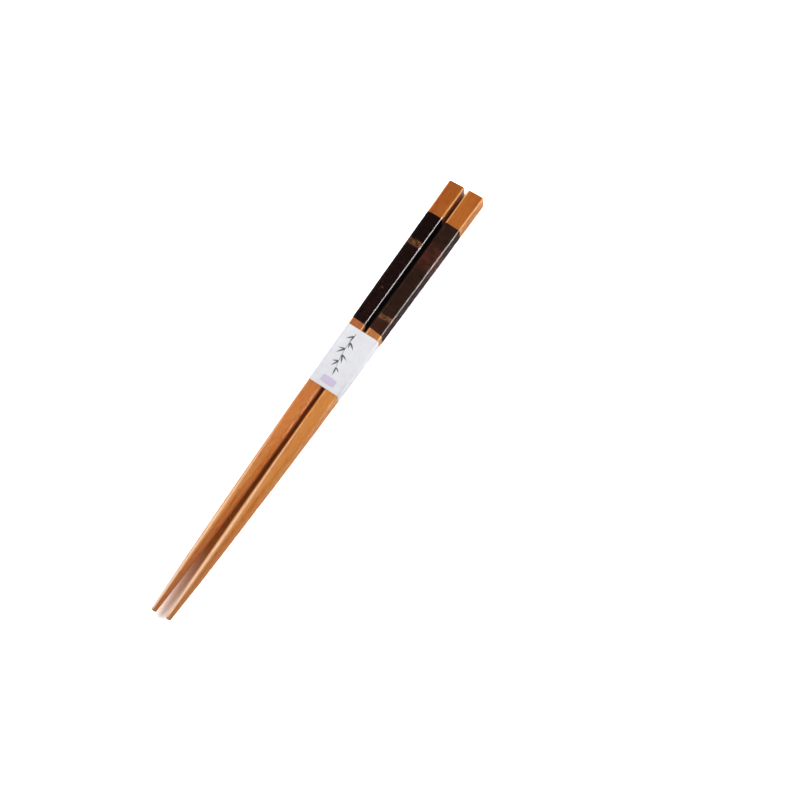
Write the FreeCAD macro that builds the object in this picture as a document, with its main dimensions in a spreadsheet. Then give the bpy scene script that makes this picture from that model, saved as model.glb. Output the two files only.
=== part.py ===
import FreeCAD, Part
import math
import os

import Sketcher

# A pair of bamboo chopsticks. Each has a bark wrap glued into a rebate in its grip,
# and one paper band holds the two side by side.
# Millimetres, +Z up, +X towards the heads, +Y towards the left stick.
# The origin is on the surface that the pair lies on, under the middle of its length.

SIZES = {
    # One stick: flat faces from the head to the shoulder, then a curved taper to the tip.
    "stick_length": 235.0,
    "head_width": 7.6,
    "head_corner": 0.65,
    "head_end_rounding": 0.4,
    "shoulder_at": 114.0,
    "shoulder_width": 6.5,
    "shoulder_corner": 0.8,
    "tip_width": 2.45,
    "tip_flat": 0.12,
    "tip_end_rounding": 0.45,
    # The bark wrap, which fills a rebate of its own thickness.
    "bark_start": 18.4,
    "bark_length": 60.0,
    "bark_thickness": 0.3,
    "rebate_corner": 0.38,
    "glue_gap": 0.02,
    "bark_seam": 0.2,
    # The paper band round both sticks, lapped underneath.
    "bark_to_band": 3.4,
    "band_length": 30.8,
    "paper_thickness": 0.15,
    "paper_clearance": 0.05,
    "lap_width": 10.0,
    # How the two sticks lie: the distance between their centre lines.
    "head_spacing": 9.63,
    "tip_spacing": 7.2,
}

# Sections of the curved taper, how its width falls, and how its flat faces give way to round.
TAPER_SECTIONS = 6
WIDTH_POWER = 2.9
FLAT_POWER = 5.0

# An edge lies in a plane when it is this close to it.
IN_PLANE = 1e-4

doc = FreeCAD.newDocument("chopsticks")
sheet = doc.addObject("Spreadsheet::Sheet", "Sizes")
for row, (alias, value) in enumerate(SIZES.items(), start=1):
    sheet.set(f"A{row}", alias)
    sheet.set(f"B{row}", str(value))
    sheet.setAlias(f"B{row}", alias)
doc.recompute()


# Widths and corners along a stick, as expressions on the sheet


def along_handle(head, shoulder, at):
    """A size that changes evenly from the head to the shoulder, at a distance from the head."""
    return f"({head} + ({shoulder} - {head}) * ({at}) / Sizes.shoulder_at)"


def handle_width(at):
    return along_handle("Sizes.head_width", "Sizes.shoulder_width", at)


def handle_corner(at):
    return along_handle("Sizes.head_corner", "Sizes.shoulder_corner", at)


def taper_at(share):
    """Distance from the head of a section of the taper: share 0 is the shoulder, 1 the tip."""
    return f"(Sizes.shoulder_at + (Sizes.stick_length - Sizes.shoulder_at) * {share:.6f})"


def taper_width(share):
    """The width goes on at the handle's slope, and a power curve takes it down to the tip."""
    slope_fall = f"({handle_width('Sizes.shoulder_at')} - {handle_width('Sizes.stick_length')})"
    curve_fall = f"(Sizes.shoulder_width - Sizes.tip_width - {slope_fall})"
    curve_share = share**WIDTH_POWER
    return (f"(Sizes.shoulder_width - {slope_fall} * {share:.6f}"
            f" - {curve_fall} * {curve_share:.6f})")


def taper_corner(share):
    """Corner radius that leaves a narrowing flat on each face, down to the flat at the tip."""
    left = (1 - share**2) ** FLAT_POWER
    shoulder_flat = "(1 - 2 * Sizes.shoulder_corner / Sizes.shoulder_width)"
    tip_flat = "(Sizes.tip_flat / Sizes.tip_width)"
    flat_share = f"({tip_flat} + ({shoulder_flat} - {tip_flat}) * {left:.6f})"
    return f"{taper_width(share)} / 2 * (1 - {flat_share})"


BARK_END = "(Sizes.bark_start + Sizes.bark_length)"
BAND_START = f"({BARK_END} + Sizes.bark_to_band)"
BAND_END = f"({BAND_START} + Sizes.band_length)"


def core_width(at):
    """Width of the bamboo inside the rebate."""
    return f"({handle_width(at)} - 2 * Sizes.bark_thickness)"


# Sketches and features


def origin_plane(body, role):
    return next(plane for plane in body.Origin.OriginFeatures if plane.Role == role)


def section(body, name, at, width, height, corner, rise="0"):
    """Rounded rectangle across the body's X axis, at a distance from the head end.

    It is drawn at a rough size, and its three named datums set the real one.
    """
    sketch = body.newObject("Sketcher::SketchObject", name)
    sketch.AttachmentSupport = [(origin_plane(body, "YZ_Plane"), "")]
    sketch.MapMode = "FlatFace"
    sketch.setExpression("AttachmentOffset.Base.z", f"-({at})")
    sketch.setExpression("AttachmentOffset.Base.y", rise)
    half = 2.0
    radius = 0.5
    inner = half - radius
    upright = FreeCAD.Vector(0, 0, 1)
    for quarter in range(4):
        turn = FreeCAD.Rotation(upright, 90 * quarter)
        start = turn.multVec(FreeCAD.Vector(-inner, -half, 0))
        end = turn.multVec(FreeCAD.Vector(inner, -half, 0))
        centre = turn.multVec(FreeCAD.Vector(inner, -inner, 0))
        first = math.radians(90 * quarter - 90)
        last = math.radians(90 * quarter)
        sketch.addGeometry(Part.LineSegment(start, end))
        sketch.addGeometry(Part.ArcOfCircle(Part.Circle(centre, upright, radius), first, last))
    bottom, right, top, left = 0, 2, 4, 6
    for edge in range(8):
        sketch.addConstraint(Sketcher.Constraint("Tangent", edge, 2, (edge + 1) % 8, 1))
    for line in (bottom, top):
        sketch.addConstraint(Sketcher.Constraint("Horizontal", line))
    for line in (right, left):
        sketch.addConstraint(Sketcher.Constraint("Vertical", line))
    for arc in (3, 5, 7):
        sketch.addConstraint(Sketcher.Constraint("Equal", 1, arc))
    sketch.addConstraint(Sketcher.Constraint("Symmetric", 1, 3, 5, 3, -1, 1))
    datums = (
        ("across", Sketcher.Constraint("DistanceX", left, 1, right, 1, 2 * half), width),
        ("tall", Sketcher.Constraint("DistanceY", bottom, 1, top, 1, 2 * half), height),
        ("corner", Sketcher.Constraint("Radius", 1, radius), corner),
    )
    for datum, constraint, size in datums:
        index = sketch.addConstraint(constraint)
        sketch.renameConstraint(index, datum)
        sketch.setExpression(f"Constraints.{datum}", size)
    sketch.Visibility = False
    return sketch


def square(body, name, at, width, corner):
    return section(body, name, at, width, width, corner)


def loft(body, kind, name, sketches, ruled=True):
    feature = body.newObject(f"PartDesign::{kind}Loft", name)
    feature.Profile = sketches[0]
    feature.Sections = sketches[1:]
    feature.Ruled = ruled
    return feature


def plate(body, name, start, end, width):
    """Rectangle seen from above, between two distances from the head end."""
    sketch = body.newObject("Sketcher::SketchObject", name)
    sketch.AttachmentSupport = [(origin_plane(body, "XY_Plane"), "")]
    sketch.MapMode = "FlatFace"
    corners = ((-2, -1), (-1, -1), (-1, 1), (-2, 1))
    for (x1, y1), (x2, y2) in zip(corners, corners[1:] + corners[:1]):
        sketch.addGeometry(Part.LineSegment(FreeCAD.Vector(x1, y1, 0), FreeCAD.Vector(x2, y2, 0)))
    for edge in range(4):
        sketch.addConstraint(Sketcher.Constraint("Coincident", edge, 2, (edge + 1) % 4, 1))
    for edge in (0, 2):
        sketch.addConstraint(Sketcher.Constraint("Horizontal", edge))
    sketch.addConstraint(Sketcher.Constraint("Vertical", 3))
    sketch.addConstraint(Sketcher.Constraint("Symmetric", 1, 1, 1, 2, -1))
    datums = (
        ("long", Sketcher.Constraint("DistanceX", 0, 1, 0, 2, 1), f"{end} - {start}"),
        ("wide", Sketcher.Constraint("DistanceY", 1, 1, 1, 2, 2), width),
        ("near", Sketcher.Constraint("DistanceX", 0, 2, -1, 1, 1), start),
    )
    for datum, constraint, size in datums:
        index = sketch.addConstraint(constraint)
        sketch.renameConstraint(index, datum)
        sketch.setExpression(f"Constraints.{datum}", size)
    sketch.Visibility = False
    return sketch


def end_edges(shape, x):
    """Names of the edges that lie wholly in the plane across the X axis at x."""
    return [
        f"Edge{number}"
        for number, edge in enumerate(shape.Edges, start=1)
        if abs(edge.BoundBox.XMin - x) < IN_PLANE and abs(edge.BoundBox.XMax - x) < IN_PLANE
    ]


def round_end(body, name, base, x, size):
    doc.recompute()
    fillet = body.newObject("PartDesign::Fillet", name)
    fillet.Base = (base, end_edges(base.Shape, x))
    fillet.setExpression("Radius", size)
    return fillet


# The two sticks


def laid_down(body, side):
    """Place a piece of a stick: head to +X, turned in towards the other stick, underside level."""
    spacing_fall = "(Sizes.head_spacing - Sizes.tip_spacing) / 2"
    pitch = "atan((Sizes.head_width - Sizes.shoulder_width) / 2 / Sizes.shoulder_at)"
    yaw = f"asin({spacing_fall} / Sizes.stick_length)"
    rise = f"2 * Sizes.paper_thickness + Sizes.head_width / 2 * cos({pitch})"
    body.setExpression("Placement", (
        f"placement(vector(Sizes.stick_length / 2; {side} * Sizes.head_spacing / 2; {rise});"
        f" rotationz({side} * {yaw}) * rotationy(-{pitch}))"
    ))


def make_stick(name, side):
    body = doc.addObject("PartDesign::Body", name)
    body.Label = name
    full = (
        ("Head", "0"),
        ("BarkShoulder", "Sizes.bark_start"),
        ("GripStart", BARK_END),
        ("Shoulder", "Sizes.shoulder_at"),
    )
    head, bark_shoulder, grip_start, shoulder = (
        square(body, name, at, handle_width(at), handle_corner(at)) for name, at in full
    )
    cores = [
        square(body, name, at, core_width(at), "Sizes.rebate_corner")
        for name, at in (("CoreStart", "Sizes.bark_start"), ("CoreEnd", BARK_END))
    ]
    taper = []
    for step in range(1, TAPER_SECTIONS + 1):
        share = step / TAPER_SECTIONS
        taper.append(square(body, f"Taper{step}", taper_at(share), taper_width(share),
                            taper_corner(share)))
    head_block = loft(body, "Additive", "HeadBlock", [head, bark_shoulder])
    round_end(body, "HeadRounding", head_block, 0, "Sizes.head_end_rounding")
    loft(body, "Additive", "RebateCore", cores)
    loft(body, "Additive", "Grip", [grip_start, shoulder])
    point = loft(body, "Additive", "TaperToTip", [shoulder] + taper, ruled=False)
    round_end(body, "TipRounding", point, -sheet.get("stick_length"), "Sizes.tip_end_rounding")
    laid_down(body, side)
    return body


def make_bark_wrap(name, side):
    """Sleeve over the rebate core, slit along the underside where the sheet's edges meet."""
    body = doc.addObject("PartDesign::Body", name)
    body.Label = name
    start = "(Sizes.bark_start + Sizes.glue_gap)"
    end = f"({BARK_END} - Sizes.glue_gap)"
    outer = []
    inner = []
    for place, at in (("Start", start), ("End", end)):
        wide = f"{core_width(at)} + 2 * Sizes.glue_gap"
        corner = "Sizes.rebate_corner + Sizes.glue_gap"
        inner.append(square(body, f"Inner{place}", at, wide, corner))
        outer.append(square(body, f"Outer{place}", at, f"{wide} + 2 * Sizes.bark_thickness",
                            f"{corner} + Sizes.bark_thickness"))
    loft(body, "Additive", "OuterFace", outer)
    loft(body, "Subtractive", "Hollow", inner)
    seam = body.newObject("PartDesign::Pocket", "Seam")
    seam.Profile = plate(body, "SeamLine", start, end, "Sizes.bark_seam")
    seam.Type = "ThroughAll"
    seam.Reversed = False
    laid_down(body, side)
    return body


def make_paper_band():
    """A strip round both sticks, which follows their taper, with its lap as a second layer below."""
    body = doc.addObject("PartDesign::Body", "paper_band")
    body.Label = "paper_band"
    spacing_fall = "(Sizes.head_spacing - Sizes.tip_spacing)"
    outer = []
    inner = []
    for end, at in (("Start", BAND_START), ("End", BAND_END)):
        spacing = f"(Sizes.head_spacing - {spacing_fall} * {at} / Sizes.stick_length)"
        wide = f"({spacing} + {handle_width(at)} + 2 * Sizes.paper_clearance)"
        tall = f"({handle_width(at)} + Sizes.paper_clearance)"
        corner = f"({handle_corner(at)} + Sizes.paper_clearance)"
        rise = f"2 * Sizes.paper_thickness + {tall} / 2"
        inner.append(section(body, f"Inner{end}", at, wide, tall, corner, rise))
        outer.append(section(body, f"Outer{end}", at, f"{wide} + 2 * Sizes.paper_thickness",
                             f"{tall} + 2 * Sizes.paper_thickness",
                             f"{corner} + Sizes.paper_thickness", rise))
    loft(body, "Additive", "OuterFace", outer)
    loft(body, "Subtractive", "Inside", inner)
    lap = body.newObject("PartDesign::Pad", "Lap")
    lap.Profile = plate(body, "LapOutline", BAND_START, BAND_END, "Sizes.lap_width")
    lap.setExpression("Length", "Sizes.paper_thickness")
    body.setExpression("Placement", "placement(vector(Sizes.stick_length / 2; 0; 0); rotationz(0))")
    return body


SIDES = {"left": 1, "right": -1}
pieces = [make_stick(f"{side}_stick", sign) for side, sign in SIDES.items()]
pieces += [make_bark_wrap(f"{side}_bark_wrap", sign) for side, sign in SIDES.items()]
pieces.append(make_paper_band())
doc.recompute()


# Test every object, then write each piece

for item in doc.Objects:
    if "Invalid" in item.State or "Error" in item.State:
        raise RuntimeError(f"{item.Name} failed: {item.State}")
    if item.TypeId in ("PartDesign::Pocket", "PartDesign::SubtractiveLoft"):
        if item.Shape.Volume >= item.BaseFeature.Shape.Volume:
            raise RuntimeError(f"{item.Name} cuts nothing")
for piece in pieces:
    if piece.Shape.isNull() or not piece.Shape.isValid() or len(piece.Shape.Solids) != 1:
        raise RuntimeError(f"{piece.Label} isn't one valid solid")

os.makedirs("parts", exist_ok=True)
for piece in pieces:
    piece.Shape.exportStep(f"parts/{piece.Label}.step")
    box = piece.Shape.BoundBox
    print(f"{piece.Label}: volume {piece.Shape.Volume:.3f}, "
          f"X {box.XMin:.2f} to {box.XMax:.2f}, Y {box.YMin:.2f} to {box.YMax:.2f}, "
          f"Z {box.ZMin:.3f} to {box.ZMax:.3f}")
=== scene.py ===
import math

import bpy
import numpy as np
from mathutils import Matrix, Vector


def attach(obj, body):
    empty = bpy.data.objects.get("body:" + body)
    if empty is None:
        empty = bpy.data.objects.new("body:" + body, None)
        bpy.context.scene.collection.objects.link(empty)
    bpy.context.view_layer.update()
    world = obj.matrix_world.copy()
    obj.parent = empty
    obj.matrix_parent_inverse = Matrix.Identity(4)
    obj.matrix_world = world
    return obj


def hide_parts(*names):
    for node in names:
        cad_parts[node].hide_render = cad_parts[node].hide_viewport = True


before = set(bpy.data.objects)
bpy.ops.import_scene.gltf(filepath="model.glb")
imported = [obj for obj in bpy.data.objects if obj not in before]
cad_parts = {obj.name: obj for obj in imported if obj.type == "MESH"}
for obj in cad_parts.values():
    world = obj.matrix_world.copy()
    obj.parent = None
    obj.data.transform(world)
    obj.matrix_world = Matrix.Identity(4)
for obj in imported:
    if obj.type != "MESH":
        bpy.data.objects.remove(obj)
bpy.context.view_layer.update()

# A pair of bamboo chopsticks. Each grip is wrapped in polished bark, and one paper band holds the two.
# Metres. +X is towards the heads, +Y towards the left stick, +Z up. "u" is the distance from the heads.

MM = 0.001

# The stick
STICK_LENGTH = 235.0 * MM
HEAD_WIDTH = 7.6 * MM
HEAD_CORNER = 0.65 * MM
HEAD_ROUNDING = 0.4 * MM
SHOULDER_AT = 114.0 * MM
SHOULDER_WIDTH = 6.5 * MM
SHOULDER_CORNER = 0.8 * MM
TIP_WIDTH = 2.45 * MM
TIP_FLAT = 0.12 * MM
TIP_ROUNDING = 0.45 * MM
WIDTH_POWER = 2.9
FLAT_POWER = 5.0

# The bark wrap and its rebate
BARK_START = 18.4 * MM
BARK_END = BARK_START + 60.0 * MM
BARK_THICKNESS = 0.3 * MM
REBATE_CORNER = 0.38 * MM
GLUE_GAP = 0.02 * MM
BARK_SEAM = 0.2 * MM

# The paper band
BAND_START = BARK_END + 3.4 * MM
BAND_END = BAND_START + 30.8 * MM
PAPER = 0.15 * MM
PAPER_CLEARANCE = 0.05 * MM
LAP_WIDTH = 10.0 * MM

# How the two sticks lie
HEAD_SPACING = 9.63 * MM
TIP_SPACING = 7.2 * MM
PITCH = math.atan((HEAD_WIDTH - SHOULDER_WIDTH) / 2 / SHOULDER_AT)
YAW = math.asin((HEAD_SPACING - TIP_SPACING) / 2 / STICK_LENGTH)
AXIS_RISE = 2 * PAPER + HEAD_WIDTH / 2 * math.cos(PITCH)
SIDES = {"left": 1, "right": -1}

# Hand work on the bark's cut lines: where each is, how far it runs towards the heads for a metre
# across to +Y, and how much nearer the heads it lies
CUTS = {
    "left": ((BARK_START, 0.05, 0.45 * MM), (BARK_END, 0.11, 0.3 * MM)),
    "right": ((BARK_START, 0.08, -0.5 * MM), (BARK_END, 0.16, -0.4 * MM)),
}
LEAN_FADE = 2.5 * MM
BAND_LEAN = 0.06

# How far the hand-planed faces wave and over what length, how deep the pores lie, and how far the paper
# puffs up, over what length along the band and across it
WOOD_WAVE = 0.003 * MM
WOOD_WAVE_LENGTH = 30.0 * MM
BARK_WAVE = 0.003 * MM
BARK_WAVE_LENGTH = 12.0 * MM
PORE_DEPTH = 0.02 * MM
PAPER_PUFF = 0.05 * MM
PUFF_LENGTHS = (20.0 * MM, 12.0 * MM)

# The stick's corners: how much of each is planed flat on the handle, where that fades to the round
# taper, and the least radius that is left at a rim
CHAMFER = 0.85
CHAMFER_FADE = (114.0 * MM, 160.0 * MM)
LEAST_CORNER = 0.08 * MM

# Where the handle's pale corners fade out: partly sanding, partly a painted highlight
EDGE_FADE = (85.0 * MM, 130.0 * MM)

# Painted light on the wood, in pale gold: a painted highlight in a stripe along the +Y half of each
# taper's top, with the places where it comes up along the stick and, in half widths, across it, and a
# weaker painted sheen on the side faces
LIT_STRIPE_RISE = {"left": (130.0 * MM, 165.0 * MM), "right": (112.0 * MM, 150.0 * MM)}
LIT_STRIPE_EDGE = (-0.45, 0.4)
SIDE_SHEEN = 0.4
SIDE_SHEEN_FADE = (150.0 * MM, 200.0 * MM)

# Tan bands where pores break through the bark: distance from the heads and half width in mm, first and
# last place round the stick in quarter turns, bow along the stick in mm, and strength
PORE_BANDS = {
    "left": (
        (34.0, 1.6, 0.7, 2.0, 0.0, 0.5),
        (59.4, 0.3, 1.3, 1.6, 0.0, 0.35),
        (48.0, 0.8, 3.1, 3.9, 0.3, 0.8),
        (70.0, 0.7, 3.2, 4.0, 0.0, 0.7),
        (24.0, 0.5, 0.1, 0.6, 0.0, 0.6),
    ),
    "right": (
        (71.2, 1.2, 0.85, 2.05, -1.0, 1.0),
        (30.0, 0.5, 3.0, 3.8, 0.0, 0.8),
        (53.0, 0.9, 3.1, 3.9, 0.4, 0.8),
        (44.0, 0.5, 0.1, 0.5, 0.0, 0.6),
    ),
}
PORE_FRAY = 0.25 * MM
FRAY_LENGTH = 2.2 * MM
PORE_BAND_FADE = 0.12

# The print on the band: places are (distance from the heads, y)
INK_HALF = 0.02 * MM
STEM_START = (BAND_START + 2.6 * MM, 1.7 * MM)
STEM_END = (BAND_START + 20.4 * MM, 0.5 * MM)
STEM_BOW = 0.8 * MM
STEM_WIDTH = 0.3 * MM
PATCH_MIDDLE = (BAND_END - 3.7 * MM, -0.3 * MM)
PATCH_HALF = (1.8 * MM, 3.4 * MM)

# The floor: its half width, its colour as the camera sees it in the open, and the strip between the
# sticks with its painted shade, warm and dark at the heads and lighter at the tips: its colour at the heads
# and at the tips, where its sides and ends are, and where one colour gives way to the other
FLOOR_HALF = 4.0
OPEN_FLOOR = (3.6, 3.6, 3.6, 1)
GAP_SHADE_AT_HEADS = (0.9, 0.42, 0.12, 1)
GAP_SHADE_AT_TIPS = (2.1, 2.15, 2.2, 1)
STRIP_SIDES = (3.2 * MM, 4.4 * MM)
STRIP_ENDS = (117.0 * MM, 122.0 * MM)
STRIP_CHANGE = (-80.0 * MM, -138.0 * MM)

# The camera: the picture's width in pixels, how many of them a metre at the aim takes up, how far away
# it is and in which direction, where it aims, and its sensor's width in millimetres
IMAGE_WIDTH = 800
PIXELS_PER_METRE = 2400
CAMERA_AWAY = 2.4
CAMERA_AZIMUTH = math.radians(-57.585)
CAMERA_ELEVATION = math.radians(61.807)
CAMERA_AIM = (20.061 * MM, -28.295 * MM, 0)
SENSOR_WIDTH = 36

# How fine the surfaces are: places on a flat, steps in a corner and in a rim, the gaps between rows,
# the angle from which an edge is sharp, and a slack for rounding
FLAT_SHARES = np.array([-0.94, -0.75, -0.5, -0.25, 0, 0.25, 0.5, 0.75, 0.94])
ARC_STEPS = 8
RIM_STEPS = 7
ROW = 0.8 * MM
BARK_ROW = 0.3 * MM
SHARP_ANGLE = math.radians(55)
TINY = 1e-9


# Shape of a stick


def smooth_step(value, low, high):
    """From 0 at low to 1 at high, along a cubic that is level at both ends."""
    share = np.clip((value - low) / (high - low), 0, 1)
    return share * share * (3 - 2 * share)


def stick_width(u):
    """Width of the square section: the head's, less an even slope, less a power curve past the shoulder."""
    slope = (HEAD_WIDTH - SHOULDER_WIDTH) / SHOULDER_AT
    curve_fall = HEAD_WIDTH - slope * STICK_LENGTH - TIP_WIDTH
    share = np.clip((u - SHOULDER_AT) / (STICK_LENGTH - SHOULDER_AT), 0, 1)
    return HEAD_WIDTH - slope * u - curve_fall * share**WIDTH_POWER


def stick_corner(u):
    """Corner radius: an even rise along the handle, then what leaves a flat that narrows to the tip's."""
    handle = HEAD_CORNER + (SHOULDER_CORNER - HEAD_CORNER) * u / SHOULDER_AT
    share = np.clip((u - SHOULDER_AT) / (STICK_LENGTH - SHOULDER_AT), 0, 1)
    shoulder_flat = 1 - 2 * SHOULDER_CORNER / SHOULDER_WIDTH
    tip_flat = TIP_FLAT / TIP_WIDTH
    flat = tip_flat + (shoulder_flat - tip_flat) * (1 - share**2) ** FLAT_POWER
    return np.where(u <= SHOULDER_AT, handle, stick_width(u) / 2 * (1 - flat))


def outline_steps():
    """A trip round a square with round corners, from the foot of its +Y side upwards: each side, then the
    corner after it. Each step has its place on the square of the corners' centres, across and tall from
    -1 to 1, and the angle that the outside faces. A point of the real outline is that place times the
    half size less the corner, plus the corner times the angle's cosine and sine."""
    across, tall, facing = [], [], []
    for side in range(4):
        turn = side * math.pi / 2
        cos, sin = round(math.cos(turn)), round(math.sin(turn))
        arc = np.linspace(0, math.pi / 2, ARC_STEPS)
        along = np.concatenate([FLAT_SHARES, np.ones(ARC_STEPS)])
        across.append(cos - sin * along)
        tall.append(sin + cos * along)
        facing.append(turn + np.concatenate([np.zeros(len(FLAT_SHARES)), arc]))
    return np.concatenate(across), np.concatenate(tall), np.concatenate(facing)


def rounded_rows(half_wide, half_tall, corner, chamfer):
    """Rows of outline points (row, step) across and tall, for arrays of half sizes and corner radii.

    A corner's points lie between the straight line that joins its two ends, by the chamfer's share, and
    an arc, by the rest.
    """
    across, tall, facing = outline_steps()
    quarter = np.floor(facing / (math.pi / 2) + TINY)
    share = facing / (math.pi / 2) - quarter
    start, end = quarter * math.pi / 2, (quarter + 1) * math.pi / 2
    line_y = np.cos(start) * (1 - share) + np.cos(end) * share
    line_z = np.sin(start) * (1 - share) + np.sin(end) * share
    bend_y = chamfer[:, None] * line_y + (1 - chamfer[:, None]) * np.cos(facing)
    bend_z = chamfer[:, None] * line_z + (1 - chamfer[:, None]) * np.sin(facing)
    y = (half_wide - corner)[:, None] * across + corner[:, None] * bend_y
    z = (half_tall - corner)[:, None] * tall + corner[:, None] * bend_z
    return y, z


def chamfer_share(u):
    """How much of a corner is planed flat: CHAMFER along the handle, fading to none on the taper."""
    return CHAMFER * (1 - smooth_step(u, *CHAMFER_FADE))


def leaning(u, y, side):
    """Distance from the head, less each cut line's lean times y and its shift, both fading away from the
    line by a bell curve."""
    return u - sum(
        (slope * y + shift) * np.exp(-(((u - cut) / LEAN_FADE) ** 2))
        for cut, slope, shift in CUTS[side]
    )


def laid_down(u, y, z, side):
    """From a stick's own axis to its place: nose down by PITCH, turned in by YAW, head at +X."""
    sign = SIDES[side]
    x = -u * math.cos(PITCH) - z * math.sin(PITCH)
    rise = -u * math.sin(PITCH) + z * math.cos(PITCH)
    turn = sign * YAW
    return np.stack([
        x * math.cos(turn) - y * math.sin(turn) + STICK_LENGTH / 2,
        x * math.sin(turn) + y * math.cos(turn) + sign * HEAD_SPACING / 2,
        rise + AXIS_RISE,
    ], axis=-1)


def soft_noise(a, b, seed):
    """Smooth noise over two arrays, mostly from -1 to 1: a sum of sine waves with seeded directions,
    lengths and phases, divided by twice its usual size."""
    waves = 14
    draw = np.random.default_rng(seed)
    angle = draw.uniform(0, 2 * math.pi, waves)
    reach = draw.uniform(0.5, 1.5, waves)
    phase = draw.uniform(0, 2 * math.pi, waves)
    total = sum(
        np.sin(2 * math.pi * r * (np.cos(t) * a + np.sin(t) * b) + p)
        for t, r, p in zip(angle, reach, phase)
    )
    return total / math.sqrt(waves / 2) / 2


# Meshes from grids of points


def new_piece(name, points, faces, material, **attributes):
    """A mesh object at the origin, smooth but for its sharp rims, with its attributes and its finish."""
    mesh = bpy.data.meshes.new(name)
    mesh.from_pydata(points.tolist(), [], faces)
    mesh.polygons.foreach_set("use_smooth", np.ones(len(mesh.polygons), dtype=bool))
    mesh.set_sharp_from_angle(angle=SHARP_ANGLE)
    for key, values in attributes.items():
        layer = mesh.attributes.new(key, "FLOAT", "POINT")
        layer.data.foreach_set("value", np.ascontiguousarray(values, dtype=np.float32).ravel())
    mesh.materials.append(material)
    mesh.update()
    piece = bpy.data.objects.new(name, mesh)
    bpy.context.collection.objects.link(piece)
    return piece


def quads(first):
    """Faces of a grid of point numbers, each from four neighbours."""
    corners = [first[:-1, :-1], first[1:, :-1], first[1:, 1:], first[:-1, 1:]]
    return np.stack(corners, axis=-1).reshape(-1, 4)


def closed_rod(rows, poles):
    """A closed skin: a row for each ring, from end to end, and a pole in the middle of each end."""
    count, round_steps = rows.shape[:2]
    number = np.arange(count * round_steps).reshape(count, round_steps)
    wrapped = np.concatenate([number, number[:, :1]], axis=1)
    near, far = count * round_steps, count * round_steps + 1
    first = [(near, a, b) for a, b in zip(wrapped[0, :-1], wrapped[0, 1:])]
    last = [(far, b, a) for a, b in zip(wrapped[-1, :-1], wrapped[-1, 1:])]
    faces = quads(wrapped).tolist() + [tuple(map(int, face)) for face in first + last]
    return np.concatenate([rows.reshape(-1, 3), poles]), faces


def closed_sheet(outer, inner):
    """A sheet with a thickness: its outer grid, its inner grid turned over, and a rim round both."""
    count, across = outer.shape[:2]
    top = np.arange(count * across).reshape(count, across)
    under = top + count * across
    rim_top, rim_under = (
        np.concatenate([grid[0, :-1], grid[:-1, -1], grid[-1, :0:-1], grid[:0:-1, 0]])
        for grid in (top, under)
    )
    rim = np.stack([rim_top, np.roll(rim_top, -1), np.roll(rim_under, -1), rim_under], axis=-1)
    faces = np.concatenate([quads(top), quads(under)[:, ::-1], rim])
    return np.concatenate([outer.reshape(-1, 3), inner.reshape(-1, 3)]), faces.tolist()


# Node helpers


def add(tree, kind, inputs=None, **settings):
    """A new node. settings are its own values, and inputs its sockets' values or what feeds them."""
    node = tree.nodes.new(kind)
    for key, value in settings.items():
        setattr(node, key, value)
    for key, value in (inputs or {}).items():
        if isinstance(value, bpy.types.NodeSocket):
            tree.links.new(value, node.inputs[key])
        else:
            node.inputs[key].default_value = value
    return node


def linear(red, green, blue, alpha=1.0):
    """A colour written as 0 to 255 screen values, as the shader's linear light."""
    def channel(value):
        value /= 255
        return value / 12.92 if value <= 0.04045 else ((value + 0.055) / 1.055) ** 2.4
    return channel(red), channel(green), channel(blue), alpha


def ramp(tree, factor, stops):
    """A colour ramp with stops of (place, colour)."""
    node = add(tree, "ShaderNodeValToRGB", {"Fac": factor})
    elements = node.color_ramp.elements
    while len(elements) < len(stops):
        elements.new(0.5)
    for element, (place, colour) in zip(elements, stops):
        element.position = place
        element.color = colour
    return node.outputs["Color"]


def between(tree, value, low, high, to_low=0.0, to_high=1.0):
    """A value's stretch from low to high, made to run from to_low to to_high."""
    node = add(tree, "ShaderNodeMapRange", {
        "Value": value, "From Min": low, "From Max": high, "To Min": to_low, "To Max": to_high,
    })
    return node.outputs["Result"]


def mix(tree, factor, a, b, blend_type="MIX"):
    """Colour a, with colour b laid over it by the factor."""
    node = add(tree, "ShaderNodeMix", data_type="RGBA", blend_type=blend_type)
    for key, value in ((0, factor), (6, a), (7, b)):
        if isinstance(value, bpy.types.NodeSocket):
            tree.links.new(value, node.inputs[key])
        else:
            node.inputs[key].default_value = value
    return node.outputs[2]


def maths(tree, operation, a, b=0.0):
    """One step of arithmetic on a value, or on two."""
    node = add(tree, "ShaderNodeMath", {0: a, 1: b}, operation=operation)
    return node.outputs[0]


def attribute(tree, name):
    """A value that the piece's points carry."""
    return add(tree, "ShaderNodeAttribute", attribute_name=name).outputs["Fac"]


def streaks_group():
    """Noise drawn out along an axis, for wood fibres, bark streaks and paper fibres.

    Stretch is how many waves go into a metre along X, Y and Z. Value is the noise, from 0 to 1.
    """
    group = bpy.data.node_groups.new("Drawn-out streaks", "ShaderNodeTree")
    ports = group.interface
    ports.new_socket("Stretch", in_out="INPUT", socket_type="NodeSocketVector")
    for name, default in (("Detail", 2.0), ("Roughness", 0.5), ("Distortion", 0.0)):
        ports.new_socket(name, in_out="INPUT", socket_type="NodeSocketFloat").default_value = default
    ports.new_socket("Value", in_out="OUTPUT", socket_type="NodeSocketFloat")
    given = add(group, "NodeGroupInput")
    place = add(group, "ShaderNodeTexCoord").outputs["Object"]
    scaled = add(group, "ShaderNodeMapping", {"Vector": place, "Scale": given.outputs["Stretch"]})
    noise = add(group, "ShaderNodeTexNoise", {
        "Vector": scaled.outputs[0], "Scale": 1.0, "Detail": given.outputs["Detail"],
        "Roughness": given.outputs["Roughness"], "Distortion": given.outputs["Distortion"],
    })
    add(group, "NodeGroupOutput", {"Value": noise.outputs["Fac"]})
    return group


STREAKS = streaks_group()


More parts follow.
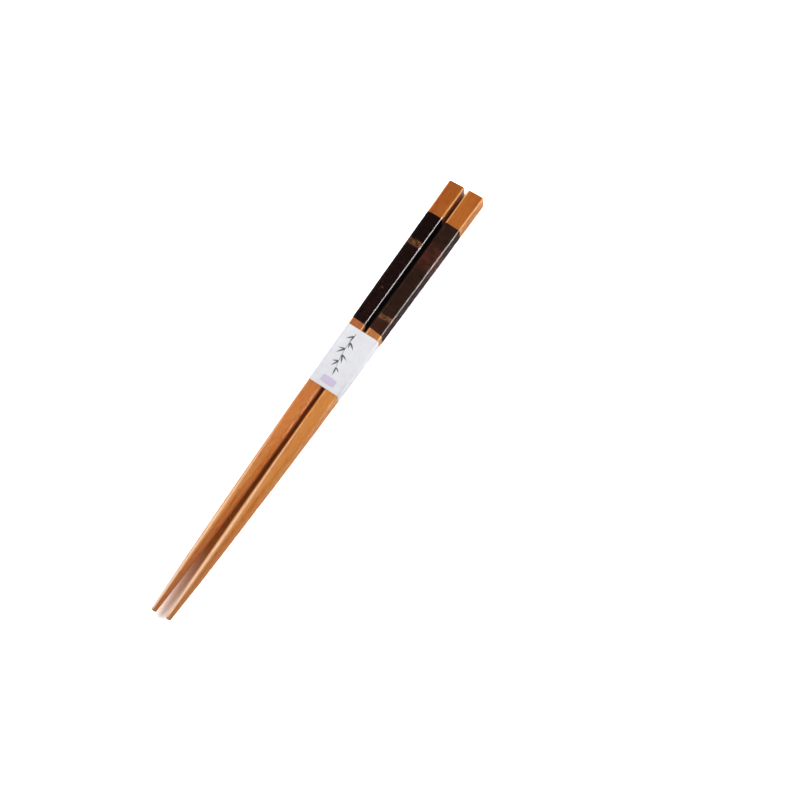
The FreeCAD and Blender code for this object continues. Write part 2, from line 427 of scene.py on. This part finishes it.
def streaks(tree, stretch, detail=2.0, roughness=0.5, distortion=0.0):
    """The drawn-out noise, placed in a material with its own values."""
    node = add(tree, "ShaderNodeGroup", node_tree=STREAKS)
    given = {"Stretch": stretch, "Detail": detail, "Roughness": roughness, "Distortion": distortion}
    for key, value in given.items():
        node.inputs[key].default_value = value
    return node.outputs["Value"]


def bump(tree, height, distance, strength):
    """The surface's normal, tipped by the slopes of a height."""
    node = add(tree, "ShaderNodeBump", {"Height": height, "Distance": distance, "Strength": strength})
    return node.outputs["Normal"]


def new_material(name):
    """A material, its node tree and its shader."""
    material = bpy.data.materials.new(name)
    material.use_nodes = True
    return material, material.node_tree, material.node_tree.nodes["Principled BSDF"]


def feed(tree, shader, **sockets):
    """Connects or sets a shader's inputs, named with underscores for spaces."""
    for key, value in sockets.items():
        port = shader.inputs[key.replace("_", " ")]
        if isinstance(value, bpy.types.NodeSocket):
            tree.links.new(value, port)
        else:
            port.default_value = value


# Finishes


def bamboo_finish(name, tones):
    """Smoked bamboo under thin oil: long fibres, short dark dashes where bundles come to the surface, a
    faint reddish cloud, a painted sheen in pale gold on the sides and a painted highlight in a stripe on
    the taper, paler along the handle's corners, partly from sanding and partly a painted highlight, and
    dotted at the ends. tones are its colours from the tip to the head."""
    material, tree, shader = new_material(name)
    place = add(tree, "ShaderNodeTexCoord").outputs["Object"]
    lengthwise = add(tree, "ShaderNodeSeparateXYZ", {"Vector": place}).outputs["X"]
    along = between(tree, lengthwise, -STICK_LENGTH / 2, STICK_LENGTH / 2)
    wood = ramp(tree, along, [(share, linear(*tone)) for share, tone in tones])
    # The painted light's own colour, pale gold and palest at the tips, for the painted highlight and sheen
    painted_sheen_tint = ramp(tree, along, [
        (0.0, linear(254, 226, 190)),
        (0.22, linear(236, 184, 118)),
        (0.34, linear(216, 152, 72)),
    ])
    # golden marks where the painted highlight and the painted sheen are laid on the wood
    golden = maths(tree, "MULTIPLY", attribute(tree, "golden"), 0.8)
    wood = mix(tree, golden, wood, painted_sheen_tint)
    cloud = streaks(tree, (45, 260, 260), detail=2, distortion=0.3)
    fibres = streaks(tree, (60, 2600, 2600), detail=3, roughness=0.65)
    dashes = streaks(tree, (320, 5200, 5200), detail=1)
    for pattern, low, high, dark in (
        (cloud, 0.3, 0.7, linear(252, 236, 222)),
        (fibres, 0.3, 0.7, linear(238, 226, 214)),
        (dashes, 0.3, 0.42, linear(214, 190, 168)),
    ):
        tone = ramp(tree, between(tree, pattern, low, high), [(0.0, dark), (1.0, (1.0, 1.0, 1.0, 1.0))])
        wood = mix(tree, 1.0, wood, tone, "MULTIPLY")
    # Paler on the handle's corners: partly sanding, partly a painted highlight
    sanding_and_glint = attribute(tree, "edge")
    wood = mix(tree, maths(tree, "MULTIPLY", sanding_and_glint, 0.8), wood, linear(250, 182, 104))
    across = add(tree, "ShaderNodeMapping", {"Vector": place, "Scale": (40, 1900, 1900)})
    cells = add(tree, "ShaderNodeTexVoronoi", {"Vector": across.outputs[0], "Scale": 1.0})
    dots = cells.outputs["Distance"]
    bundles = ramp(tree, between(tree, dots, 0.18, 0.42), [
        (0.0, linear(96, 48, 20)),
        (1.0, linear(182, 112, 58)),
    ])
    wood = mix(tree, attribute(tree, "end_grain"), wood, bundles)
    polish = between(tree, fibres, 0.2, 0.8, 0.3, 0.38)
    roughness = maths(tree, "ADD", polish, maths(tree, "MULTIPLY", sanding_and_glint, 0.2))
    feed(tree, shader, Base_Color=wood, Roughness=roughness, IOR=1.55,
         Normal=bump(tree, fibres, 0.01 * MM, 0.6))
    return material


def bark_finish(name, dark, light, warm):
    """Polished bark: fine streaks across the stick, a reddish cloud, and tan where the pores show."""
    material, tree, shader = new_material(name)
    fine = streaks(tree, (2600, 220, 220), detail=3, roughness=0.6)
    broad = streaks(tree, (150, 90, 90), detail=2)
    cloud = streaks(tree, (420, 380, 380), detail=3, roughness=0.6, distortion=0.5)
    bark = ramp(tree, between(tree, fine, 0.3, 0.7), [(0.0, dark), (1.0, light)])
    bark = mix(tree, between(tree, broad, 0.4, 0.7, 0.0, 0.5), bark, dark)
    warmth = maths(tree, "MULTIPLY", attribute(tree, "warmth"), between(tree, cloud, 0.3, 0.6))
    bark = mix(tree, warmth, bark, warm)
    tan = ramp(tree, between(tree, cloud, 0.35, 0.65), [
        (0.0, linear(72, 44, 30)),
        (0.5, linear(118, 78, 50)),
        (1.0, linear(170, 124, 82)),
    ])
    bark = mix(tree, attribute(tree, "pores"), bark, tan)
    feed(tree, shader, Base_Color=bark, IOR=1.45, Specular_IOR_Level=0.0,
         Roughness=between(tree, fine, 0.2, 0.8, 0.32, 0.45),
         Normal=bump(tree, fine, 0.003 * MM, 0.5))
    feed(tree, shader, Coat_Weight=0.22, Coat_Roughness=0.2, Coat_IOR=1.8)
    return material


def paper_finish(name, colour):
    """Uncoated paper: a felt of short fibres, in the colour and in the surface."""
    material, tree, shader = new_material(name)
    felt = streaks(tree, (1800, 1800, 1800), detail=4, roughness=0.65)
    flecks = streaks(tree, (300, 500, 500), detail=2)
    shade = ramp(tree, between(tree, felt, 0.3, 0.7), [
        (0.0, linear(244, 244, 246)),
        (1.0, linear(255, 255, 255)),
    ])
    cloud = ramp(tree, between(tree, flecks, 0.3, 0.7), [
        (0.0, linear(248, 248, 250)),
        (1.0, linear(255, 255, 255)),
    ])
    sheet = mix(tree, 1.0, mix(tree, 1.0, colour, shade, "MULTIPLY"), cloud, "MULTIPLY")
    feed(tree, shader, Base_Color=sheet, Roughness=0.88, IOR=1.45, Specular_IOR_Level=0.3,
         Normal=bump(tree, felt, 0.01 * MM, 0.6))
    return material


BAMBOO = {
    "left": bamboo_finish("Smoked bamboo, reddish", (
        (0.0, (188, 112, 50)), (0.24, (212, 126, 46)), (0.42, (218, 134, 54)), (0.55, (206, 126, 52)),
        (0.7, (170, 104, 56)), (0.95, (172, 94, 12)),
    )),
    "right": bamboo_finish("Smoked bamboo, golden", (
        (0.0, (192, 128, 64)), (0.24, (216, 136, 50)), (0.42, (220, 142, 58)), (0.55, (212, 142, 62)),
        (0.7, (174, 112, 60)), (0.95, (184, 106, 24)),
    )),
}
BARKS = {
    "left": bark_finish(
        "Polished bark, near black", linear(16, 5, 4), linear(28, 13, 11), linear(44, 20, 15),
    ),
    "right": bark_finish(
        "Polished bark, brown", linear(36, 20, 14), linear(52, 32, 24), linear(74, 38, 28),
    ),
}
WHITE_PAPER = paper_finish("White paper", linear(233, 233, 236))
DARK_INK = paper_finish("Dark ink on paper", linear(98, 102, 106))
LILAC_INK = paper_finish("Lilac ink on paper", linear(214, 201, 225))


# The sticks


def spread(start, end, gap):
    """Even places from start to end, about a gap apart."""
    return np.linspace(start, end, max(2, round((end - start) / gap) + 1))


def make_stick(side):
    """Skin of one stick: rings along its axis, each a rounded square inset from the full section. The end
    faces are rings that shrink to a pole, the rims run in by a quarter circle, and the rebate's rings are
    inset by the bark's thickness."""
    quarter = np.linspace(0, math.pi / 2, RIM_STEPS)
    shrink = np.array([0.25, 0.5, 0.75])
    face = len(shrink)
    head = spread(HEAD_ROUNDING, BARK_START, ROW)[1:]
    rebate = spread(BARK_START, BARK_END, 4 * ROW)
    body = spread(BARK_END, STICK_LENGTH - TIP_ROUNDING, ROW)[:-1]
    along = np.concatenate([
        np.zeros(face), HEAD_ROUNDING * (1 - np.cos(quarter)), head, rebate, body,
        STICK_LENGTH - TIP_ROUNDING + TIP_ROUNDING * np.sin(quarter), np.full(face, STICK_LENGTH),
    ])
    inset = np.concatenate([
        np.full(face, HEAD_ROUNDING), HEAD_ROUNDING * (1 - np.sin(quarter)), np.zeros(len(head)),
        np.full(len(rebate), BARK_THICKNESS), np.zeros(len(body)),
        TIP_ROUNDING * (1 - np.cos(quarter)), np.full(face, TIP_ROUNDING),
    ])
    size = np.concatenate([shrink, np.ones(len(along) - 2 * face), shrink[::-1]])
    before = face + len(quarter) + len(head)
    in_rebate = np.zeros(len(along), dtype=bool)
    in_rebate[before:before + len(rebate)] = True
    half = (stick_width(along) / 2 - inset) * size
    full_corner = np.maximum(stick_corner(along) - inset, LEAST_CORNER)
    corner = np.where(in_rebate, REBATE_CORNER, full_corner) * size
    y, z = rounded_rows(half, half, corner, chamfer_share(along))
    u = along[:, None] + np.zeros_like(y)
    facing = outline_steps()[2]
    unevenness = WOOD_WAVE * soft_noise(u / WOOD_WAVE_LENGTH, facing / 3, seed=5 + SIDES[side])
    body_mask = ((u > HEAD_ROUNDING) & (u < STICK_LENGTH - TIP_ROUNDING)) * size[:, None]
    y = y + unevenness * np.cos(facing) * body_mask
    z = z + unevenness * np.sin(facing) * body_mask
    rows = laid_down(leaning(u, y, side), y, z, side)
    zero = np.zeros(2)
    poles = laid_down(np.array([0.0, STICK_LENGTH]), zero, zero, side)
    points, faces = closed_rod(rows, poles)
    # The handle's pale corners, partly sanding and partly a painted highlight, fading out along the stick
    on_corner = np.abs(np.sin(2 * facing)) ** 0.7
    handle = 1 - smooth_step(along, *EDGE_FADE)
    edge = np.append(on_corner * handle[:, None], zero)
    on_end = (inset > 0.9 * HEAD_ROUNDING) & ~in_rebate
    end_grain = np.append(on_end[:, None] * np.ones_like(y), np.ones(2))
    # Painted light: a painted highlight on the +Y half of the taper's top, and a weaker painted sheen on
    # the side faces
    to_left = smooth_step(y / half[:, None], *LIT_STRIPE_EDGE)
    stripe = to_left * (z > 0) * smooth_step(u, *LIT_STRIPE_RISE[side])
    side_sheen = SIDE_SHEEN * np.cos(facing) ** 2 * (1 - smooth_step(u, *SIDE_SHEEN_FADE))
    golden = np.append(np.maximum(stripe, side_sheen), zero)
    piece = new_piece(f"{side}_bamboo", points, faces, BAMBOO[side],
                      edge=edge, golden=golden, end_grain=end_grain)
    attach(piece, "root")
    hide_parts(f"{side}_stick")


# The bark wraps


def open_outline(u, half, corner, slot):
    """A rounded square cut open in the middle of its underside, from one lip round to the other."""
    across, tall, facing = outline_steps()
    under = np.argmin(np.hypot(across, tall + 1))
    order = np.roll(np.arange(len(across)), -under)[1:]
    y, z = rounded_rows(half, half, corner, chamfer_share(u))
    y, z, facing = y[:, order], z[:, order], facing[order]
    lip = np.full((len(half), 1), slot / 2)
    y = np.concatenate([lip, y, -lip], axis=1)
    z = np.concatenate([z[:, :1], z, z[:, -1:]], axis=1)
    facing = np.concatenate([facing[:1], facing, facing[-1:]])
    return y, z, facing


def pore_bands(side, u, round_trip):
    """Where tan pores break through the bark, from 0 to 1.

    A band is full across its middle, ends in a soft step at each side and at both ends of its stretch round
    the stick, bows along the stick by a square, and is frayed by noise. round_trip is how far round a point
    is, in quarter turns: 0 to 1 on the stick's +Y face, 1 to 2 on its top.
    """
    fray = soft_noise(u / FRAY_LENGTH, round_trip * 3.1, seed=21 + SIDES[side])
    total = np.zeros_like(u)
    for centre, half, first, last, bow, strength in PORE_BANDS[side]:
        middle = (first + last) / 2
        bend = bow * MM * ((round_trip - middle) / (last - first) * 2) ** 2
        away = np.abs(u - centre * MM - bend + PORE_FRAY * fray) / (half * MM)
        begun = smooth_step(round_trip, first, first + PORE_BAND_FADE)
        over = smooth_step(round_trip, last - PORE_BAND_FADE, last)
        within = begun * (1 - over)
        total = np.maximum(total, (1 - smooth_step(away, 0.7, 1.15)) * within * strength)
    return total


def warm_cloud(side, u):
    """Where the bark is reddish, from 0 to 1: one weak stretch on the left wrap, and on the right one a
    strong stretch and a weak one near the band."""
    if side == "left":
        return smooth_step(u, 30 * MM, 40 * MM) * 0.25
    strong = smooth_step(u, 28 * MM, 33 * MM) * (1 - smooth_step(u, 40 * MM, 45 * MM))
    weak = smooth_step(u, 71.5 * MM, 73 * MM) * 0.4
    return np.maximum(strong, weak)


def make_bark(side):
    """One wrap: an outer and an inner skin round the rebate's core, open along the seam. Its outside waves
    a little by noise, and is lower where the pores show."""
    u = spread(BARK_START + GLUE_GAP, BARK_END - GLUE_GAP, BARK_ROW)
    inner_half = stick_width(u) / 2 - BARK_THICKNESS + GLUE_GAP
    inner_corner = np.full(len(u), REBATE_CORNER + GLUE_GAP)
    outer_half, outer_corner = inner_half + BARK_THICKNESS, inner_corner + BARK_THICKNESS
    y_in, z_in, facing = open_outline(u, inner_half, inner_corner, BARK_SEAM)
    y_out, z_out, facing = open_outline(u, outer_half, outer_corner, BARK_SEAM)
    along = u[:, None] + np.zeros_like(y_out)
    quarter_turns = (facing / (math.pi / 2)) % 4
    on_flat = np.where(np.abs(np.sin(2 * facing)) > 0.01, 0, 1)
    on_side = np.round(quarter_turns) % 2 == 0
    flat_part = on_flat * np.where(on_side, z_out * np.cos(facing), -y_out * np.sin(facing))
    round_trip = (quarter_turns + flat_part / (2 * inner_half[:, None]) * 0.9 + 0.5) % 4
    pores = pore_bands(side, along, round_trip)
    warmth = warm_cloud(side, along)
    wave = BARK_WAVE * soft_noise(along / BARK_WAVE_LENGTH, round_trip * 1.3, seed=31 + SIDES[side])
    lift = wave - PORE_DEPTH * pores
    y_out = y_out + lift * np.cos(facing)
    z_out = z_out + lift * np.sin(facing)
    outer = laid_down(leaning(along, y_out, side), y_out, z_out, side)
    inner = laid_down(leaning(along, y_in, side), y_in, z_in, side)
    points, faces = closed_sheet(outer, inner)
    piece = new_piece(f"{side}_bark", points, faces, BARKS[side],
                      pores=np.append(pores, pores), warmth=np.append(warmth, warmth))
    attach(piece, "root")
    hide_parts(f"{side}_bark_wrap")


# The paper band and its print


def band_size(u):
    """Half width and half height of the paper's inside, and its corner radius: the two sticks together,
    and a clearance."""
    spacing = HEAD_SPACING - (HEAD_SPACING - TIP_SPACING) * u / STICK_LENGTH
    wide = spacing + stick_width(u) + 2 * PAPER_CLEARANCE
    tall = stick_width(u) + PAPER_CLEARANCE
    return wide / 2, tall / 2, stick_corner(u) + PAPER_CLEARANCE


def band_point(u, y, z):
    """From a place on the band to its place in the frame, with the band's lean."""
    return np.stack([STICK_LENGTH / 2 - u + BAND_LEAN * y, y, z], axis=-1)


def paper_puff(u, y):
    """How far the paper's upper face stands up or sinks: smooth noise along the band and across it."""
    return PAPER_PUFF * soft_noise(u / PUFF_LENGTHS[0], y / PUFF_LENGTHS[1], seed=3)


def make_band():
    """One strip of paper: under both sticks, up the left side, over the top, down the right side, and
    under its own start, where it is glued. Each row is that trip at one distance from the heads."""
    u = spread(BAND_START, BAND_END, ROW)
    half_wide, half_tall, corner = band_size(u)
    rise = 2 * PAPER + half_tall

    def trip(offset):
        """The strip's skin at an offset outwards from the inside of the paper. The lap's outer layer goes
        down by one thickness where it passes under the strip's start."""
        radius = corner + offset
        inner_wide = half_wide - corner
        inner_tall = half_tall - corner
        underside = (rise - half_tall - offset)[:, None]
        flat = np.linspace(-1, 1, 25)
        arc = np.linspace(0, math.pi / 2, 9)
        start = np.linspace(-LAP_WIDTH / 2, 0, 9)
        bottom = np.linspace(0.1, 0.9, 11)
        y_parts = [start + 0 * u[:, None], inner_wide[:, None] * bottom]
        z_parts = [underside + 0 * start, underside + 0 * bottom]
        for index, (sign_y, sign_z) in enumerate(((1, -1), (1, 1), (-1, 1), (-1, -1))):
            turn = arc + (index - 1) * math.pi / 2
            y_parts.append((sign_y * inner_wide)[:, None] + radius[:, None] * np.cos(turn))
            z_parts.append((rise + sign_z * inner_tall)[:, None] + radius[:, None] * np.sin(turn))
            if index == 0 or index == 2:
                side_wall = flat[1:-1] * (1 if index == 0 else -1)
                y_parts.append((sign_y * (inner_wide + radius))[:, None] + 0 * side_wall)
                z_parts.append(rise[:, None] + inner_tall[:, None] * side_wall)
            if index == 1:
                y_parts.append(-inner_wide[:, None] * flat[1:-1])
                z_parts.append((rise + inner_tall + radius)[:, None] + 0 * flat[1:-1])
        end = np.linspace(0, 1, 24)
        step = smooth_step(end, 0.0, 0.12)
        y_end = -inner_wide[:, None] * (1 - end) + LAP_WIDTH / 2 * end
        y_parts.append(y_end[:, 1:])
        z_parts.append(underside - PAPER * step[1:])
        return np.concatenate(y_parts, axis=1), np.concatenate(z_parts, axis=1)

    y_out, z_out = trip(PAPER)
    y_in, z_in = trip(0.0)
    along = u[:, None] + np.zeros_like(y_out)
    on_top = smooth_step(z_out, half_tall[:, None] * 1.6, half_tall[:, None] * 2)
    puff = on_top * paper_puff(along, y_out)
    outer = band_point(along, y_out, z_out + puff)
    inner = band_point(along, y_in, z_in + puff)
    points, faces = closed_sheet(outer, inner)
    piece = new_piece("wrapped_paper", points, faces, WHITE_PAPER)
    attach(piece, "root")
    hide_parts("paper_band")


def band_top(u, y):
    """Height of the paper's upper face: the lap's two layers, the inside, one layer more and the puff."""
    half_tall = band_size(u)[1]
    return 2 * PAPER + 2 * half_tall + PAPER + paper_puff(u, y)


def print_piece(name, patches, material):
    """Printed shapes as one thin piece on the band. Each patch is a grid of places (u, y) on its upper
    face, and is turned over so that its faces point up."""
    points, faces, base = [], [], 0
    for u, y in patches:
        u, y = u[:, ::-1], y[:, ::-1]
        top = band_point(u, y, band_top(u, y) + INK_HALF)
        under = band_point(u, y, band_top(u, y) - INK_HALF)
        patch_points, patch_faces = closed_sheet(top, under)
        points.append(patch_points)
        faces += (np.array(patch_faces) + base).tolist()
        base += len(patch_points)
    piece = new_piece(name, np.concatenate(points), faces, material)
    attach(piece, "root")


def leaf(root_u, root_y, heading, length, width):
    """A pointed leaf: half its width is a sine hump of the share along it to the power 0.7, so that it is
    widest near its root, and its middle sweeps aside by the share's square."""
    share = np.linspace(0.02, 0.98, 14)[:, None]
    across = np.linspace(-1, 1, 5)[None, :]
    half = width / 2 * np.sin(math.pi * share**0.7)
    sweep = 0.12 * length * share**2
    forward = length * share + 0 * across
    sideways = half * across + sweep
    cos, sin = math.cos(math.radians(heading)), math.sin(math.radians(heading))
    return root_u + forward * cos - sideways * sin, root_y + forward * sin + sideways * cos


def twig(start, end, bow, width):
    """A thin stroke between two places (u, y), bowed by a sine hump and half as wide at its end."""
    share = np.linspace(0, 1, 16)[:, None]
    across = np.linspace(-1, 1, 3)[None, :]
    du, dy = end[0] - start[0], end[1] - start[1]
    reach = math.hypot(du, dy)
    off = bow * np.sin(math.pi * share) + across * width / 2 * (1 - 0.5 * share)
    return start[0] + du * share - dy / reach * off, start[1] + dy * share + du / reach * off


def make_sprig():
    """A small bamboo sprig in dark ink: one bowed stem along the band, with pairs of leaves on alternate
    sides. A pair is its share along the stem and its leaves: heading in degrees, length and width in mm."""
    patches = [twig(STEM_START, STEM_END, STEM_BOW, STEM_WIDTH)]
    pairs = (
        (0.06, ((38, 3.9, 0.75), (6, 3.2, 0.6))),
        (0.25, ((-58, 4.2, 0.8), (-24, 3.4, 0.65))),
        (0.45, ((64, 3.2, 0.6), (30, 4.4, 0.8))),
        (0.62, ((-70, 3.6, 0.7), (-34, 4.6, 0.8))),
        (0.8, ((56, 3.0, 0.6), (18, 4.0, 0.75))),
        (0.98, ((-62, 2.9, 0.6), (-16, 4.0, 0.75))),
    )
    for share, leaves in pairs:
        u = STEM_START[0] + (STEM_END[0] - STEM_START[0]) * share
        y = STEM_START[1] + (STEM_END[1] - STEM_START[1]) * share + STEM_BOW * math.sin(math.pi * share)
        for heading, length, width in leaves:
            patches.append(leaf(u, y, heading, length * MM, width * MM))
    print_piece("printed_sprig", patches, DARK_INK)


def make_lilac_patch():
    """A plain lilac patch near the band's lower edge: a rectangle whose corners are drawn in by the fourth
    power of the place along the other side."""
    a = np.linspace(-1, 1, 13)[:, None]
    b = np.linspace(-1, 1, 13)[None, :]
    pull = (1 - 0.12 * b**4) * np.ones_like(a), (1 - 0.08 * a**4) * np.ones_like(b)
    u = PATCH_MIDDLE[0] + PATCH_HALF[0] * a * pull[0]
    y = PATCH_MIDDLE[1] + PATCH_HALF[1] * b * pull[1]
    print_piece("printed_patch", [(u, y)], LILAC_INK)


for side in SIDES:
    make_stick(side)
    make_bark(side)
make_band()
make_sprig()
make_lilac_patch()


# The floor, the light and the camera


def make_floor():
    """A matt white floor. Its colour is raised for the camera and for reflections, so that it reads as pure
    white and still keeps the shadow, except in the narrow strip between the sticks, which carries a painted
    warm shade, darkest at the heads, and ends where they do."""
    square = np.array([(-1.0, -1.0, 0.0), (1.0, -1.0, 0.0), (1.0, 1.0, 0.0), (-1.0, 1.0, 0.0)])
    material = bpy.data.materials.new("Floor")
    material.use_nodes = True
    tree = material.node_tree
    tree.nodes.clear()
    seen = add(tree, "ShaderNodeLightPath")
    coordinates = add(tree, "ShaderNodeTexCoord").outputs["Object"]
    place = add(tree, "ShaderNodeSeparateXYZ", {"Vector": coordinates})
    beside = between(tree, maths(tree, "ABSOLUTE", place.outputs["Y"]), *STRIP_SIDES)
    past_ends = between(tree, maths(tree, "ABSOLUTE", place.outputs["X"]), *STRIP_ENDS)
    to_tips = between(tree, place.outputs["X"], *STRIP_CHANGE)
    # strip is a painted shade between the sticks: warm and dark at the heads, lighter towards the tips
    strip = mix(tree, to_tips, GAP_SHADE_AT_HEADS, GAP_SHADE_AT_TIPS)
    to_camera = mix(tree, maths(tree, "MAXIMUM", beside, past_ends), strip, OPEN_FLOOR)
    mirrored = maths(tree, "MAXIMUM", seen.outputs["Is Glossy Ray"], seen.outputs["Is Transmission Ray"])
    white = mix(tree, mirrored, (0.86, 0.86, 0.86, 1), (1.0, 1.0, 1.0, 1))
    white = mix(tree, seen.outputs["Is Camera Ray"], white, to_camera)
    matt = add(tree, "ShaderNodeBsdfDiffuse", {"Color": white})
    add(tree, "ShaderNodeOutputMaterial", {"Surface": matt.outputs[0]})
    floor = new_piece("floor", FLOOR_HALF * square, [(0, 1, 2, 3)], material)


def make_world():
    """White at the horizon and dark overhead, as above a table in a studio."""
    world = bpy.data.worlds.new("Studio")
    bpy.context.scene.world = world
    world.use_nodes = True
    tree = world.node_tree
    tree.nodes.clear()
    direction = add(tree, "ShaderNodeTexCoord").outputs["Generated"]
    height = add(tree, "ShaderNodeSeparateXYZ", {"Vector": direction}).outputs["Z"]
    sky = ramp(tree, height, [
        (0.0, (1.0, 1.0, 1.0, 1)),
        (0.12, (0.95, 0.95, 0.95, 1)),
        (0.9, (0.07, 0.07, 0.07, 1)),
    ])
    background = add(tree, "ShaderNodeBackground", {"Color": sky, "Strength": 1.0})
    add(tree, "ShaderNodeOutputWorld", {"Surface": background.outputs[0]})


def softbox(name, place, target, size, power, beam=180):
    """A rectangular lamp at a place, facing a target. size is its width and height in metres, power is in
    watts, and beam is its spread in degrees."""
    lamp = bpy.data.lights.new(name, "AREA")
    lamp.shape = "RECTANGLE"
    lamp.size, lamp.size_y = size
    lamp.energy = power
    lamp.spread = math.radians(beam)
    box = bpy.data.objects.new(name, lamp)
    box.location = place
    box.rotation_euler = (Vector(target) - Vector(place)).to_track_quat("-Z", "Y").to_euler()
    bpy.context.collection.objects.link(box)


def make_light():
    """A large softbox on the left, another one in front on the right that fills the shadows, and a small
    one with a narrow beam, aimed at the heads, which brightens the grips most."""
    softbox("window_softbox", (0.08, 0.39, 0.31), (-0.06, 0, 0), (0.26, 0.42), 2.1)
    softbox("fill_softbox", (-0.2, -0.55, 0.4), (-0.06, 0, 0), (0.5, 0.3), 1.45)
    softbox("grip_softbox", (0.38, -0.53, 0.2), (0.108, 0, 0), (0.2, 0.16), 0.042, 9)


def make_camera():
    """The photograph's camera: far off with a long lens. Back is the way from its aim to it."""
    back = Vector((
        math.sin(CAMERA_AZIMUTH) * math.cos(CAMERA_ELEVATION),
        -math.cos(CAMERA_AZIMUTH) * math.cos(CAMERA_ELEVATION),
        math.sin(CAMERA_ELEVATION),
    ))
    lens = bpy.data.cameras.new("camera")
    lens.sensor_width = SENSOR_WIDTH
    lens.lens = PIXELS_PER_METRE * CAMERA_AWAY / IMAGE_WIDTH * SENSOR_WIDTH
    lens.clip_start, lens.clip_end = 0.1, 20
    camera = bpy.data.objects.new("camera", lens)
    camera.location = Vector(CAMERA_AIM) + back * CAMERA_AWAY
    camera.rotation_euler = (-back).to_track_quat("-Z", "Y").to_euler()
    bpy.context.collection.objects.link(camera)
    bpy.context.scene.camera = camera


make_floor()
make_world()
make_light()
make_camera()
bpy.context.scene.view_settings.view_transform = "Standard"
